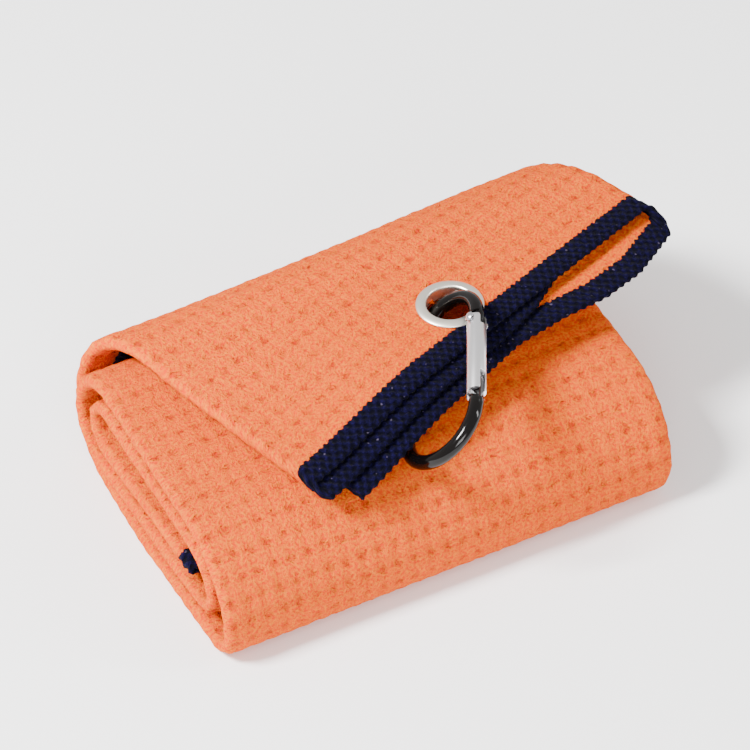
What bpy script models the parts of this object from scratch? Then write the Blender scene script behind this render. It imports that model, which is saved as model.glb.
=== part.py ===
"""Golf towel with an eyelet and a snap hook, folded in three and rolled flat.

X runs along the roll, -Y is its front and +Z is up. The origin lies on the surface that
the towel rests on, under the middle of the roll. The outermost panel is the towel's
middle third; the other two thirds are folded in behind it, and the strip that this
makes is rolled up with its outer end lying skewed across the top.
"""

import math

import bmesh
import bpy
import numpy as np
from mathutils import Matrix, Vector

# Cloth
TOWEL_WIDTH = 0.400
TOWEL_LENGTH = 0.576
CLOTH_THICKNESS = 0.0016
CLEARANCE = 0.0003

# Edge binding: a tape folded over the thinned rim of the cloth
BINDING_WIDTH = 0.0070
BINDING_TAPE = 0.0004
RIM_THICKNESS = 0.0005

# Fold in three: how far the free edges stop short of the folds, and how far the two
# panels behind the outermost one step out past it at the outer end
FREE_EDGE_INSET = 0.008
MIDDLE_PANEL_STEP = 0.0055
UNDER_PANEL_STEP = 0.0105
STEP_FADE = 0.060

# Roll: each turn is a lower and an upper arc that meet at its nose
ROLL_DEPTH = 0.104
WRAP_GAP = 0.0015
TURN_SLACK = 0.0010
TOP_SLOPE = math.radians(5.6)
INNER_END_Y = -0.032
FRONT_LOW_RADII = (0.0075, 0.0050)
BACK_LOW_RADII = (0.0180, 0.0105, 0.0056)

# Outer end: it lies skewed across the top, and its front is lifted over the hook
FLAP_END_Y = -0.0160
FLAP_TWIST = math.radians(19.0)
TWIST_FROM = 0.016
TWIST_TO = 0.110
FLAP_SHIFT = 0.0080
SHIFT_FROM = 0.020
SHIFT_TO = 0.150
END_RISE = 0.0077
END_RISE_LENGTH = 0.075
BACK_BULGE = 0.003

# Eyelet: a turned barrel with a flange and a washer behind. It really crimps all three
# panels flat; here the two inner ones are opened wider, and the washer lies in the opening
EYELET_ACROSS = 0.0004
EYELET_FROM_END = 0.0150
EYELET_HOLE_RADIUS = 0.0066
EYELET_WALL = 0.0007
EYELET_FLANGE_RADIUS = 0.0096
EYELET_FLANGE_HEIGHT = 0.0009
EYELET_CURL_RADIUS = 0.0081
WASHER_THICKNESS = 0.0006
INNER_OPENING_RADIUS = 0.0118

# Snap hook: where it lies, and its loop
HOOK_CENTRE = (0.01932, -0.01125, 0.05270)
HOOK_HEADING = math.radians(-124.3)
HOOK_DIP = math.radians(-9.8)
HOOK_ROLL = math.radians(43.6)
ROD_RADIUS = 0.0021
NARROW_RADIUS = 0.0110
WIDE_RADIUS = 0.0128
HOOK_LENGTH = 0.0598
BLADE_THICKNESS = 0.0016

# Gate, with the tongue that it turns on and the nose that it shuts on
GATE_RADIUS = 0.0027
PIVOT_FROM_ARC = 0.0032
TONGUE_RADIUS = 0.0019
TONGUE_FLAT = 0.0015
NOSE_LENGTH = 0.0085
NOSE_OUTER = 0.0019
NOSE_INNER = 0.0014
LATCH_FROM_ARC = 0.0014
NOTCH_RADIUS = 0.0013
PIVOT_PIN_RADIUS = 0.0008
PIVOT_HEAD_RADIUS = 0.00135
PIVOT_HEAD_HEIGHT = 0.0007
LATCH_PIN_RADIUS = 0.0006
LATCH_PIN_LENGTH = 0.0050
BORE_RADIUS = 0.00145
BORE_DEPTH = 0.0170
PLUNGER_LENGTH = 0.0040
SPRING_WIRE = 0.00045
SPRING_TURNS = 6

# ---------------------------------------------------------------- worked out
BINDING_THICKNESS = RIM_THICKNESS + 2 * CLEARANCE + 2 * BINDING_TAPE
PANEL_PITCH = BINDING_THICKNESS + CLEARANCE
STACK_HALF = PANEL_PITCH + CLOTH_THICKNESS / 2
WRAP_PITCH = 2 * PANEL_PITCH + BINDING_THICKNESS + WRAP_GAP

LEFT_FOLD_RADIUS = PANEL_PITCH / 2
RIGHT_FOLD_RADIUS = PANEL_PITCH
FOLD_RADII = LEFT_FOLD_RADIUS + RIGHT_FOLD_RADIUS
STRIP_WIDTH = (TOWEL_WIDTH + 2 * FREE_EDGE_INSET + (3 - math.pi) * FOLD_RADII) / 3


# ------------------------------------------------------------- scene helpers
def clear_scene():
    for item in list(bpy.data.objects):
        bpy.data.objects.remove(item)


def new_collection(name):
    collection = bpy.data.collections.new(name)
    bpy.context.scene.collection.children.link(collection)
    return collection


def material(name, colour, roughness, metallic=0.0):
    result = bpy.data.materials.new(name)
    result.use_nodes = True
    shader = result.node_tree.nodes["Principled BSDF"]
    shader.inputs["Base Color"].default_value = (*colour, 1.0)
    shader.inputs["Roughness"].default_value = roughness
    shader.inputs["Metallic"].default_value = metallic
    result.diffuse_color = (*colour, 1.0)
    return result


def add_object(name, mesh, collection, finish=None):
    item = bpy.data.objects.new(name, mesh)
    if finish:
        mesh.materials.append(finish)
    collection.objects.link(item)
    return item


# ------------------------------------------------------------- fold in three
class Fold:
    """Section of the folded strip: distance across the flat towel to (w, n).

    w runs across the strip from its left to its right and n out of its outer face.
    The under panel comes first, then the right fold, the outermost panel, the left
    fold and the middle panel.
    """

    def __init__(self):
        half = STRIP_WIDTH / 2
        self.right = half - RIGHT_FOLD_RADIUS
        self.left = LEFT_FOLD_RADIUS - half
        under = self.right + half - FREE_EDGE_INSET
        outer = self.right - self.left
        self.right_fold = under
        self.outer_panel = under + math.pi * RIGHT_FOLD_RADIUS
        self.left_fold = self.outer_panel + outer
        self.middle_panel = self.left_fold + math.pi * LEFT_FOLD_RADIUS

    def place(self, across, off):
        """Point at `across`, moved `off` out of the towel's face side."""
        if across < self.right_fold:
            return across - STRIP_WIDTH / 2 + FREE_EDGE_INSET, -PANEL_PITCH - off
        if across < self.outer_panel:
            angle = (across - self.right_fold) / RIGHT_FOLD_RADIUS
            radius = RIGHT_FOLD_RADIUS + off
            return self.right + radius * math.sin(angle), -radius * math.cos(angle)
        if across < self.left_fold:
            return self.right - (across - self.outer_panel), PANEL_PITCH + off
        if across < self.middle_panel:
            angle = (across - self.left_fold) / LEFT_FOLD_RADIUS
            radius = LEFT_FOLD_RADIUS + off
            middle = PANEL_PITCH / 2
            return self.left - radius * math.sin(angle), middle + radius * math.cos(angle)
        return self.left + across - self.middle_panel, -off

    def columns(self):
        """Distances across the flat towel at which the folded strip has vertices."""
        marks = [w * STRIP_WIDTH for w in (-0.43, -0.30, -0.15, 0.0, 0.15, 0.30, 0.43)]
        shift = STRIP_WIDTH / 2 - FREE_EDGE_INSET
        result = [w + shift for w in marks]
        result += list(np.linspace(self.right_fold, self.outer_panel, 8))
        result += [self.outer_panel + self.right - w for w in reversed(marks)]
        result += list(np.linspace(self.left_fold, self.middle_panel, 7))
        result += [self.middle_panel + w - self.left for w in marks]
        low = BINDING_WIDTH + 3 * CLEARANCE
        return [a for a in result if low < a < TOWEL_WIDTH - low]


# ---------------------------------------------------------------------- roll
class Roll:
    """Section of the roll, (y, z) and outward normal at a distance along it."""

    def __init__(self):
        slope = math.tan(TOP_SLOPE)
        self.spread = math.hypot(1.0, slope)
        low = [STACK_HALF + i * WRAP_PITCH for i in range(3)]
        high = [low[2] + (1 + i * self.spread) * WRAP_PITCH - slope * INNER_END_Y for i in range(3)]
        high.reverse()
        front = STACK_HALF - ROLL_DEPTH / 2
        back = -front
        step = WRAP_PITCH + TURN_SLACK
        self.pieces = []
        self.length = 0.0
        start = (-ROLL_DEPTH, high[0] - slope * ROLL_DEPTH)
        self.turn(1, back, low[0], high[0], BACK_LOW_RADII[0], start)
        self.turn(-1, front, low[0], high[1], FRONT_LOW_RADII[0])
        self.turn(1, back - step, low[1], high[1], BACK_LOW_RADII[1])
        self.turn(-1, front + step + TURN_SLACK, low[1], high[2], FRONT_LOW_RADII[1])
        self.turn(1, back - 2 * step, low[2], high[2], BACK_LOW_RADII[2])
        self.line((INNER_END_Y - ROLL_DEPTH, low[2]), (0.0, -1.0))

    def turn(self, side, nose, low, high, low_radius, start=None):
        """Add the run that leads to a turn, and its two arcs, the way the roll runs."""
        slope = math.tan(TOP_SLOPE)
        centre_z = low + low_radius
        high_radius = (high + slope * nose - centre_z) / (self.spread + side * slope)
        top = math.pi / 2 + side * TOP_SLOPE
        upper = (side, nose - side * high_radius, centre_z, high_radius)
        lower = (side, nose - side * low_radius, centre_z, low_radius)
        if start:
            self.end = start
        if side > 0:
            self.line(self.arc_point(upper, top)[0], (-math.sin(TOP_SLOPE), math.cos(TOP_SLOPE)))
            self.arc(upper, top, 0.0)
            self.arc(lower, 0.0, -math.pi / 2)
        else:
            self.line(self.arc_point(lower, -math.pi / 2)[0], (0.0, -1.0))
            self.arc(lower, -math.pi / 2, 0.0)
            self.arc(upper, 0.0, top)

    @staticmethod
    def arc_point(arc, angle):
        side, y, z, radius = arc
        normal = (side * math.cos(angle), math.sin(angle))
        return (y + radius * normal[0], z + radius * normal[1]), normal

    def line(self, end, normal):
        length = math.dist(self.end, end)
        self.pieces.append(("line", self.length, length, self.end, end, normal))
        self.length += length
        self.end = end

    def arc(self, arc, first, last):
        length = arc[3] * abs(last - first)
        self.pieces.append(("arc", self.length, length, arc, first, last))
        self.length += length
        self.end = self.arc_point(arc, last)[0]

    def at(self, along):
        for kind, start, length, *rest in self.pieces:
            if along <= start + length:
                break
        share = (along - start) / length
        if kind == "arc":
            arc, first, last = rest
            return self.arc_point(arc, first + share * (last - first))
        first, last, normal = rest
        return tuple(a + share * (b - a) for a, b in zip(first, last)), normal

    def stations(self):
        """Distances along the section at which the roll has vertices."""
        result = []
        for kind, start, length, *rest in self.pieces:
            if kind == "line":
                count = max(2, round(length / (0.010 if start == 0.0 else 0.025)))
            else:
                count = max(3, round(length / 0.0065))
            result += [start + length * i / count for i in range(count)]
        return result


# --------------------------------------------------------------- whole towel
def ease(value, first, last):
    share = min(1.0, max(0.0, (value - first) / (last - first)))
    return share * share * (3.0 - 2.0 * share)


class Towel:
    """Flat towel (across, along) to its folded and rolled place."""

    def __init__(self):
        self.fold = Fold()
        self.roll = Roll()
        turned = sum(abs(p[5] - p[4]) for p in self.roll.pieces if p[0] == "arc")
        self.strip_length = TOWEL_LENGTH - PANEL_PITCH * turned
        self.track()

    def track(self):
        """Middle line of the strip, as it lies on the section that is rolled out flat."""
        first_line = self.roll.pieces[0]
        start_y = first_line[3][0]
        step = 0.0005
        self.s = np.arange(-0.03, self.strip_length + 0.03, step)
        twist = np.array([self.twist(s) for s in self.s])
        side = np.cumsum(np.sin(twist)[::-1])[::-1] * step
        side += [FLAP_SHIFT * (1.0 - ease(s, SHIFT_FROM, SHIFT_TO)) for s in self.s]
        along = np.cumsum(np.cos(twist)) * step
        at_end = np.interp(0.0, self.s, along)
        end_on_section = (FLAP_END_Y - start_y) / math.cos(TOP_SLOPE)
        self.side = side
        self.along = along - at_end + end_on_section

    @staticmethod
    def twist(s):
        return FLAP_TWIST * (1.0 - ease(s, TWIST_FROM, TWIST_TO))

    def step(self, n):
        """How far a panel steps out past the outermost one at the outer end."""
        if n >= 0.0:
            return MIDDLE_PANEL_STEP * (1.0 - n / PANEL_PITCH)
        return MIDDLE_PANEL_STEP - (UNDER_PANEL_STEP - MIDDLE_PANEL_STEP) * n / PANEL_PITCH

    def lift(self, s, w):
        """How far the outer end is held off the wrap under it."""
        rise = END_RISE * max(0.0, 1.0 - s / END_RISE_LENGTH)
        rise *= ease(w, -0.5 * STRIP_WIDTH, -0.15 * STRIP_WIDTH)
        bulge = BACK_BULGE * ease(s, 0.020, 0.060) * (1.0 - ease(s, 0.060, 0.104))
        return rise + bulge * ease(w, -0.15 * STRIP_WIDTH, 0.45 * STRIP_WIDTH)

    def place(self, across, along, off=0.0):
        """Place of a point `off` out of the towel's face side."""
        w, n = self.fold.place(across, off)
        panel = self.fold.place(across, 0.0)[1]
        s = along * self.strip_length / TOWEL_LENGTH
        s -= self.step(panel) * (1.0 - ease(s, 0.0, STEP_FADE))
        twist = self.twist(s)
        x = np.interp(s, self.s, self.side) + w * math.cos(twist)
        section = np.interp(s, self.s, self.along) + w * math.sin(twist)
        (y, z), normal = self.roll.at(section)
        out = n + self.lift(s, w)
        return Vector((x, y + out * normal[0], z + out * normal[1]))

    def rows(self):
        """Distances along the flat towel at which it has vertices."""
        s = np.interp(self.roll.stations(), self.along, self.s)
        result = s * TOWEL_LENGTH / self.strip_length
        low = BINDING_WIDTH + 3 * CLEARANCE
        extra = [0.014, 0.022, 0.032]
        kept = [b for b in result if 0.038 < b < TOWEL_LENGTH - low - 0.003]
        return extra + kept


def sheet_mesh(name, columns, rows, point):
    """Grid of quads with a vertex at each column and row, placed by `point`."""
    form = bmesh.new()
    bmesh.ops.create_grid(form, x_segments=len(columns) - 1, y_segments=len(rows) - 1, size=1.0)
    for vertex in form.verts:
        i = round((vertex.co.x + 1.0) / 2.0 * (len(columns) - 1))
        j = round((vertex.co.y + 1.0) / 2.0 * (len(rows) - 1))
        vertex.co = point(columns[i], rows[j])
    mesh = bpy.data.meshes.new(name)
    form.to_mesh(mesh)
    form.free()
    return mesh


def rimmed(values, total):
    """Stations of the cloth, with its thin rim and the step up to its full thickness."""
    edge = BINDING_TAPE + 3 * CLEARANCE
    step = BINDING_WIDTH + CLEARANCE
    return [edge, step, step + CLEARANCE, *values, total - step - CLEARANCE, total - step, total - edge]


def make_cloth(towel, collection, finish):
    columns = rimmed(towel.fold.columns(), TOWEL_WIDTH)
    rows = rimmed(towel.rows(), TOWEL_LENGTH)
    mesh = sheet_mesh("towel_cloth", columns, rows, towel.place)
    cloth = add_object("towel_cloth", mesh, collection, finish)
    body = cloth.vertex_groups.new(name="body")
    wide = len(columns)
    inner = [
        j * wide + i for j in range(2, len(rows) - 2) for i in range(2, wide - 2)
    ]
    body.add(inner, 1.0, "REPLACE")
    solid = cloth.modifiers.new("thickness", "SOLIDIFY")
    solid.thickness = CLOTH_THICKNESS
    solid.offset = 0.0
    solid.use_even_offset = True
    solid.vertex_group = "body"
    solid.thickness_vertex_group = RIM_THICKNESS / CLOTH_THICKNESS
    return cloth


def binding_section():
    """Middle line of the tape over an edge: (distance in from the edge, off the cloth)."""
    far = BINDING_THICKNESS / 2 - BINDING_TAPE / 2
    near = BINDING_TAPE / 2
    corner = 0.45 * far
    upper = [(BINDING_WIDTH, far), (near + corner, far), (near, far - corner)]
    return upper + [(inward, -off) for inward, off in reversed(upper)]


def make_binding(name, stations, point, collection, finish):
    section = binding_section()
    mesh = sheet_mesh(name, list(range(len(section))), stations, lambda i, b: point(b, *section[i]))
    band = add_object(name, mesh, collection, finish)
    solid = band.modifiers.new("thickness", "SOLIDIFY")
    solid.thickness = BINDING_TAPE
    solid.offset = 0.0
    solid.use_even_offset = True
    return band


def make_bindings(towel, collection, finish):
    columns = [0.0, *rimmed(towel.fold.columns(), TOWEL_WIDTH)[1:-1], TOWEL_WIDTH]
    mitre = BINDING_WIDTH + CLEARANCE
    rows = [mitre, *towel.rows(), TOWEL_LENGTH - mitre]
    make_binding(
        "binding_outer_end", columns,
        lambda a, inward, off: towel.place(a, inward, off), collection, finish,
    )
    make_binding(
        "binding_inner_end", columns,
        lambda a, inward, off: towel.place(a, TOWEL_LENGTH - inward, off), collection, finish,
    )
    make_binding(
        "binding_under_panel", rows,
        lambda b, inward, off: towel.place(inward, b, off), collection, finish,
    )
    make_binding(
        "binding_middle_panel", rows,
        lambda b, inward, off: towel.place(TOWEL_WIDTH - inward, b, off), collection, finish,
    )


# ------------------------------------------------------------------ hardware
def turned(name, profile, place, collection, finish=None, steps=40):
    """Solid of revolution about Z; the profile is (radius, z) down the outer side."""
    closed = profile[0][0] > 0.0
    form = bmesh.new()
    vertices = [form.verts.new((radius, 0.0, z)) for radius, z in profile]
    for first, second in zip(vertices, vertices[1:]):
        form.edges.new((first, second))
    if closed:
        form.edges.new((vertices[-1], vertices[0]))
    mesh = bpy.data.meshes.new(name)
    form.to_mesh(mesh)
    form.free()
    item = add_object(name, mesh, collection, finish)
    item.matrix_world = place
    screw = item.modifiers.new("turned", "SCREW")
    screw.steps = steps
    screw.render_steps = steps
    screw.use_merge_vertices = True
    screw.merge_threshold = 0.00001
    screw.use_smooth_shade = False
    return item


def curve_mesh(name, curve):
    """Closed mesh of a curve that is no longer needed."""
    item = bpy.data.objects.new(name, curve)
    bpy.context.scene.collection.objects.link(item)
    bpy.context.view_layer.update()
    mesh = bpy.data.meshes.new_from_object(item)
    form = bmesh.new()
    form.from_mesh(mesh)
    bmesh.ops.remove_doubles(form, verts=form.verts, dist=0.000001)
    bmesh.ops.recalc_face_normals(form, faces=form.faces)
    form.to_mesh(mesh)
    form.free()
    bpy.data.objects.remove(item)
    return mesh


def wire(name, points, radius, place, collection, finish, resolution=2):
    """Round wire along the points, with flat ends."""
    curve = bpy.data.curves.new(name, "CURVE")
    curve.dimensions = "3D"
    curve.bevel_depth = radius
    curve.bevel_resolution = resolution
    curve.use_fill_caps = True
    spline = curve.splines.new("POLY")
    spline.points.add(len(points) - 1)
    for knot, point in zip(spline.points, points):
        knot.co = (*point, 1.0)
    item = add_object(name, curve_mesh(name, curve), collection, finish)
    item.matrix_world = place
    return item


def blade(name, outline, place, collection):
    """Flat plate with the outline given in its own X and Y."""
    curve = bpy.data.curves.new(name, "CURVE")
    curve.dimensions = "2D"
    curve.fill_mode = "BOTH"
    curve.extrude = BLADE_THICKNESS / 2
    spline = curve.splines.new("POLY")
    spline.points.add(len(outline) - 1)
    for knot, point in zip(spline.points, outline):
        knot.co = (*point, 0.0, 1.0)
    spline.use_cyclic_u = True
    item = add_object(name, curve_mesh(name, curve), collection)
    item.matrix_world = place
    return item


def box(name, low, high, place, collection):
    form = bmesh.new()
    size = Vector(high) - Vector(low)
    middle = (Vector(high) + Vector(low)) / 2
    bmesh.ops.create_cube(form, size=1.0)
    bmesh.ops.scale(form, vec=size, verts=form.verts)
    bmesh.ops.translate(form, vec=middle, verts=form.verts)
    mesh = bpy.data.meshes.new(name)
    form.to_mesh(mesh)
    form.free()
    item = add_object(name, mesh, collection)
    item.matrix_world = place
    return item


def rod(name, radius, low, high, place, collection, finish=None, steps=24):
    """Plain cylinder along Z."""
    profile = [(0.0, high), (radius, high), (radius, low), (0.0, low)]
    return turned(name, profile, place, collection, finish, steps)


def combine(item, tool, operation):
    """Cut `tool` out of `item`, or join it on."""
    cut = item.modifiers.new(tool.name, "BOOLEAN")
    cut.operation = operation
    cut.solver = "EXACT"
    cut.object = tool
    tool.hide_render = True
    tool.display_type = "WIRE"


def eyelet_frame(towel):
    """The eyelet's own axes, with Z out of the outermost panel and its mid-plane at 0."""
    across = towel.fold.outer_panel + towel.fold.right - EYELET_ACROSS
    centre = towel.place(across, EYELET_FROM_END)
    sideways = (towel.place(across - 0.001, EYELET_FROM_END) - centre).normalized()
    inward = towel.place(across, EYELET_FROM_END + 0.001) - centre
    axis = sideways.cross(inward).normalized()
    turn = Matrix((sideways, axis.cross(sideways), axis)).transposed()
    return Matrix.Translation(centre) @ turn.to_4x4()


def make_eyelet(towel, cloth, parts, cutters, finish):
    place = eyelet_frame(towel)
    barrel = EYELET_HOLE_RADIUS + EYELET_WALL
    lip = EYELET_FLANGE_RADIUS - EYELET_HOLE_RADIUS
    under = CLOTH_THICKNESS / 2 + CLEARANCE
    top = under + EYELET_FLANGE_HEIGHT
    back = -under
    curl = back - WASHER_THICKNESS - CLEARANCE
    end = curl - EYELET_WALL
    turned(
        "eyelet",
        [
            (EYELET_HOLE_RADIUS, top - 0.5 * EYELET_FLANGE_HEIGHT),
            (EYELET_HOLE_RADIUS + 0.08 * lip, top - 0.22 * EYELET_FLANGE_HEIGHT),
            (EYELET_HOLE_RADIUS + 0.28 * lip, top),
            (EYELET_HOLE_RADIUS + 0.65 * lip, top - 0.06 * EYELET_FLANGE_HEIGHT),
            (EYELET_FLANGE_RADIUS - 0.06 * lip, under + 0.5 * EYELET_FLANGE_HEIGHT),
            (EYELET_FLANGE_RADIUS, under),
            (barrel, under),
            (barrel, curl),
            (EYELET_CURL_RADIUS, curl),
            (EYELET_CURL_RADIUS, end + 0.5 * EYELET_WALL),
            (barrel, end),
            (EYELET_HOLE_RADIUS + 0.3 * EYELET_WALL, end + 0.3 * EYELET_WALL),
            (EYELET_HOLE_RADIUS, curl),
        ],
        place, parts, finish, 48,
    )
    hole = barrel + CLEARANCE
    turned(
        "eyelet_washer",
        [
            (hole, back),
            (EYELET_FLANGE_RADIUS, back),
            (EYELET_FLANGE_RADIUS, back - WASHER_THICKNESS),
            (hole, back - WASHER_THICKNESS),
        ],
        place, parts, finish, 48,
    )
    inner = -0.5 * PANEL_PITCH
    punch = rod("eyelet_punch", hole, inner, top, place, cutters, steps=48)
    combine(cloth, punch, "DIFFERENCE")
    low = inner - 2 * PANEL_PITCH
    punch = rod("panel_punch", INNER_OPENING_RADIUS, low, inner, place, cutters, steps=48)
    combine(cloth, punch, "DIFFERENCE")


class Hook:
    """The snap hook's own plane: X from its narrow to its wide end, Y to its gate."""

    def __init__(self):
        turn = Matrix.Rotation(HOOK_HEADING, 4, "Z")
        turn @= Matrix.Rotation(-HOOK_DIP, 4, "Y")
        turn @= Matrix.Rotation(HOOK_ROLL, 4, "X")
        self.frame = Matrix.Translation(HOOK_CENTRE) @ turn
        self.run = HOOK_LENGTH - 2 * ROD_RADIUS - NARROW_RADIUS - WIDE_RADIUS
        self.rise = WIDE_RADIUS - NARROW_RADIUS
        self.tilt = 2.0 * math.atan2(self.rise, self.run)
        self.wide_centre = Vector((self.run, self.rise, 0.0))
        self.gate_start = NARROW_RADIUS * self.radial(math.pi / 2 + self.tilt)
        gate_end = self.wide_centre + WIDE_RADIUS * self.radial(math.pi / 2 + self.tilt)
        self.gate_length = (gate_end - self.gate_start).length
        self.latch = self.gate_length - LATCH_FROM_ARC
        pivot = self.gate_start + PIVOT_FROM_ARC * self.radial(self.tilt)
        lie = Matrix.Translation(pivot) @ Matrix.Rotation(self.tilt, 4, "Z")
        self.gate_frame = self.frame @ lie

    @staticmethod
    def radial(angle):
        return Vector((math.cos(angle), math.sin(angle), 0.0))

    def along_gate(self, from_arc):
        """X in the gate's frame, which has its origin on the pivot."""
        return from_arc - PIVOT_FROM_ARC

    def rod_path(self):
        """Middle line of the bent rod, from the tongue round to the nose."""
        last = math.pi / 2 + self.tilt
        start = self.gate_start + (PIVOT_FROM_ARC - GATE_RADIUS - CLEARANCE) * self.radial(self.tilt)
        narrow = [NARROW_RADIUS * self.radial(a) for a in np.linspace(last, 1.5 * math.pi, 19)]
        wide = np.linspace(-0.5 * math.pi, last, 21)
        return [start, *narrow, *(self.wide_centre + WIDE_RADIUS * self.radial(a) for a in wide)]


def pin_place(hook, along):
    """Frame of a pin across the gate, its Z along the pin."""
    return hook.gate_frame @ Matrix.Translation((along, 0.0, 0.0))


def round_end(middle, radius, first, last, count=9):
    """Arc of points about (middle, 0)."""
    angles = np.linspace(math.radians(first), math.radians(last), count)
    return [(middle + radius * math.cos(a), radius * math.sin(a)) for a in angles]


def make_hook_body(hook, parts, cutters, black, steel):
    body = wire("carabiner_body", hook.rod_path(), ROD_RADIUS, hook.frame, parts, black, 6)
    flat = math.degrees(math.acos(TONGUE_FLAT / TONGUE_RADIUS))
    root = hook.along_gate(-0.0010)
    tongue = [(root, -TONGUE_RADIUS), (0.0, -TONGUE_RADIUS)]
    tongue += round_end(0.0, TONGUE_RADIUS, -75.0, -flat, 5)
    tongue += round_end(0.0, TONGUE_RADIUS, flat, 75.0, 5)
    tongue += [(0.0, TONGUE_RADIUS), (root, TONGUE_RADIUS)]
    combine(body, blade("tongue", tongue, hook.gate_frame, cutters), "UNION")

    root = hook.along_gate(hook.gate_length + 0.0015)
    tip = hook.along_gate(hook.gate_length - NOSE_LENGTH)
    corner = 0.35 * (NOSE_INNER + NOSE_OUTER)
    nose = [
        (root, -NOSE_INNER),
        (root, NOSE_OUTER),
        (tip + corner, NOSE_OUTER),
        (tip + 0.3 * corner, NOSE_OUTER - 0.3 * corner),
        (tip, NOSE_OUTER - corner),
        (tip, corner - NOSE_INNER),
        (tip + 0.3 * corner, 0.3 * corner - NOSE_INNER),
        (tip + corner, -NOSE_INNER),
    ]
    combine(body, blade("nose", nose, hook.gate_frame, cutters), "UNION")

    half = GATE_RADIUS + CLEARANCE
    reach = half + PIVOT_HEAD_HEIGHT
    place = pin_place(hook, 0.0)
    turned(
        "gate_pivot_pin",
        [
            (0.0, reach),
            (0.6 * PIVOT_HEAD_RADIUS, reach - 0.15 * PIVOT_HEAD_HEIGHT),
            (PIVOT_HEAD_RADIUS, half + 0.3 * PIVOT_HEAD_HEIGHT),
            (PIVOT_HEAD_RADIUS, half),
            (PIVOT_PIN_RADIUS, half),
            (PIVOT_PIN_RADIUS, -half),
            (PIVOT_HEAD_RADIUS, -half),
            (PIVOT_HEAD_RADIUS, -half - 0.3 * PIVOT_HEAD_HEIGHT),
            (0.6 * PIVOT_HEAD_RADIUS, 0.15 * PIVOT_HEAD_HEIGHT - reach),
            (0.0, -reach),
        ],
        place, parts, steel, 24,
    )
    drill = rod("tongue_drill", PIVOT_PIN_RADIUS + CLEARANCE, -half, half, place, cutters)
    combine(body, drill, "DIFFERENCE")

    place = pin_place(hook, hook.along_gate(hook.latch))
    half = LATCH_PIN_LENGTH / 2
    rod("gate_latch_pin", LATCH_PIN_RADIUS, -half, half, place, parts, steel)
    drill = rod("nose_drill", LATCH_PIN_RADIUS + CLEARANCE, -half, half, place, cutters)
    combine(body, drill, "DIFFERENCE")


def make_gate(hook, parts, cutters, bright):
    lengthways = hook.gate_frame @ Matrix.Rotation(math.pi / 2, 4, "Y")
    end = hook.along_gate(hook.gate_length - 2 * CLEARANCE)
    profile = [(0.0, end), (GATE_RADIUS - CLEARANCE, end), (GATE_RADIUS, end - CLEARANCE)]
    angles = np.linspace(0.0, math.pi / 2, 8)
    profile += [(GATE_RADIUS * math.cos(a), -GATE_RADIUS * math.sin(a)) for a in angles[:-1]]
    profile.append((0.0, -GATE_RADIUS))
    gate = turned("carabiner_gate", profile, lengthways, parts, bright, 32)

    wide = 2 * GATE_RADIUS
    half = BLADE_THICKNESS / 2 + CLEARANCE
    seat = TONGUE_RADIUS + CLEARANCE
    slot = box("pivot_slot", (-wide, -wide, -half), (seat, wide, half), hook.gate_frame, cutters)
    combine(gate, slot, "DIFFERENCE")
    bore = rod("spring_bore", BORE_RADIUS, -wide, BORE_DEPTH, lengthways, cutters)
    combine(gate, bore, "DIFFERENCE")
    half_pin = GATE_RADIUS + CLEARANCE
    drill = rod(
        "gate_drill", PIVOT_PIN_RADIUS + CLEARANCE, -half_pin, half_pin, pin_place(hook, 0.0), cutters,
    )
    combine(gate, drill, "DIFFERENCE")

    floor = hook.along_gate(hook.gate_length - NOSE_LENGTH - 2 * CLEARANCE)
    slot = box(
        "latch_slot", (floor, -NOSE_INNER - CLEARANCE, -half), (end + wide, wide, half),
        hook.gate_frame, cutters,
    )
    combine(gate, slot, "DIFFERENCE")
    pin_at = hook.along_gate(hook.latch)
    step = box(
        "latch_step", (pin_at - 0.9 * NOTCH_RADIUS, 0.0, -wide), (end + wide, wide, wide),
        hook.gate_frame, cutters,
    )
    combine(gate, step, "DIFFERENCE")
    notch = rod("latch_notch", NOTCH_RADIUS, -wide, wide, pin_place(hook, pin_at), cutters)
    combine(gate, notch, "DIFFERENCE")


def make_gate_spring(hook, parts, steel):
    lengthways = hook.gate_frame @ Matrix.Rotation(math.pi / 2, 4, "Y")
    face = TONGUE_FLAT + CLEARANCE
    tail = face + PLUNGER_LENGTH
    radius = BORE_RADIUS - CLEARANCE
    turned(
        "gate_plunger",
        [(0.0, tail), (radius, tail), (radius, face + 0.0003), (radius - 0.0003, face), (0.0, face)],
        lengthways, parts, steel, 24,
    )
    first = tail + CLEARANCE + SPRING_WIRE / 2
    last = BORE_DEPTH - CLEARANCE - SPRING_WIRE / 2
    coil = radius - SPRING_WIRE / 2
    points = []
    for k in range(12 * SPRING_TURNS + 1):
        angle = k * math.pi / 6
        share = k / (12 * SPRING_TURNS)
        points.append((coil * math.cos(angle), coil * math.sin(angle), first + share * (last - first)))
    wire("gate_spring", points, SPRING_WIRE / 2, lengthways, parts, steel, 2)


def main():
    clear_scene()
    parts = new_collection("golf_towel")
    cutters = new_collection("cutters")
    orange = material("towel_orange", (0.90, 0.23, 0.09), 0.9)
    navy = material("binding_navy", (0.008, 0.010, 0.045), 0.85)
    plated = material("eyelet_plate", (0.80, 0.77, 0.72), 0.3, 1.0)
    black = material("hook_black", (0.006, 0.006, 0.007), 0.15)
    bright = material("gate_bright", (0.78, 0.76, 0.77), 0.22, 1.0)
    steel = material("pin_steel", (0.60, 0.60, 0.62), 0.25, 1.0)
    towel = Towel()
    cloth = make_cloth(towel, parts, orange)
    make_bindings(towel, parts, navy)
    make_eyelet(towel, cloth, parts, cutters, plated)
    hook = Hook()
    make_hook_body(hook, parts, cutters, black, steel)
    make_gate(hook, parts, cutters, bright)
    make_gate_spring(hook, parts, steel)


main()
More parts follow.
